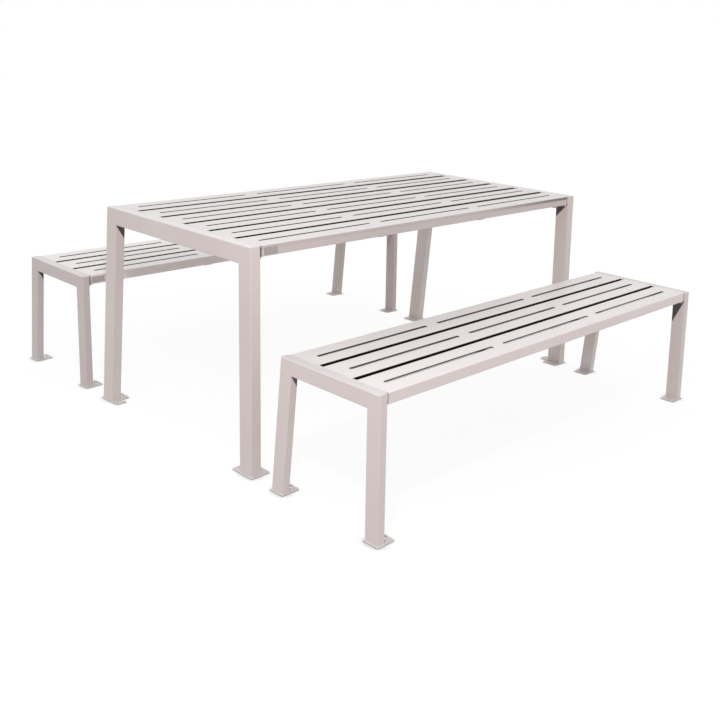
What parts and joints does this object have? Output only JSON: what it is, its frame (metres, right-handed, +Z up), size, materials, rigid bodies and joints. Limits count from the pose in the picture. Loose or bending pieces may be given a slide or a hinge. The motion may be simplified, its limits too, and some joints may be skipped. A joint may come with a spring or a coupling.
{
  "type": "picnic table set",
  "caption": "Picnic table with two separate benches, all in pale painted steel: slotted decks of folded planks on splayed tube frames with anchor plates.",
  "frame": {"origin": "on the ground, at the middle of the set's outline seen from above", "axes": "+X along the planks to the right, +Y from the front bench to the back bench, +Z up"},
  "size_m": [1.806, 1.973, 0.74],
  "materials": {
    "frame_paint": "pale warm grey polyester powder coat, satin, fine orange-peel",
    "plank_paint": "pale warm grey polyester powder coat, satin, fine orange-peel",
    "foot_paint": "pale warm grey powder coat, slightly dusty near the ground",
    "underside_paint": "pale warm grey powder coat"
  },
  "bodies": {
    "root": {"table_left_rail": "frame_paint", "table_right_rail": "frame_paint", "table_left_front_leg": "frame_paint", "table_left_back_leg": "frame_paint", "table_right_front_leg": "frame_paint", "table_right_back_leg": "frame_paint", "table_left_front_foot": "foot_paint", "table_left_back_foot": "foot_paint", "table_right_front_foot": "foot_paint", "table_right_back_foot": "foot_paint", "table_plank_1": "plank_paint", "table_plank_2": "plank_paint", "table_plank_3": "plank_paint", "table_plank_4": "plank_paint", "table_plank_5": "plank_paint", "table_plank_6": "plank_paint", "table_left_plank_rest": "underside_paint", "table_left_cross_bar": "underside_paint", "table_right_plank_rest": "underside_paint", "table_right_cross_bar": "underside_paint", "front_bench_left_rail": "frame_paint", "front_bench_right_rail": "frame_paint", "front_bench_left_front_leg": "frame_paint", "front_bench_left_back_leg": "frame_paint", "front_bench_right_front_leg": "frame_paint", "front_bench_right_back_leg": "frame_paint", "front_bench_left_front_foot": "foot_paint", "front_bench_left_back_foot": "foot_paint", "front_bench_right_front_foot": "foot_paint", "front_bench_right_back_foot": "foot_paint", "front_bench_plank_1": "plank_paint", "front_bench_plank_2": "plank_paint", "front_bench_plank_3": "plank_paint", "front_bench_left_plank_rest": "underside_paint", "front_bench_left_cross_bar": "underside_paint", "front_bench_right_plank_rest": "underside_paint", "front_bench_right_cross_bar": "underside_paint", "back_bench_left_rail": "frame_paint", "back_bench_right_rail": "frame_paint", "back_bench_left_front_leg": "frame_paint", "back_bench_left_back_leg": "frame_paint", "back_bench_right_front_leg": "frame_paint", "back_bench_right_back_leg": "frame_paint", "back_bench_left_front_foot": "foot_paint", "back_bench_left_back_foot": "foot_paint", "back_bench_right_front_foot": "foot_paint", "back_bench_right_back_foot": "foot_paint", "back_bench_plank_1": "plank_paint", "back_bench_plank_2": "plank_paint", "back_bench_plank_3": "plank_paint", "back_bench_left_plank_rest": "underside_paint", "back_bench_left_cross_bar": "underside_paint", "back_bench_right_plank_rest": "underside_paint", "back_bench_right_cross_bar": "underside_paint"}
  },
  "joints": []
}
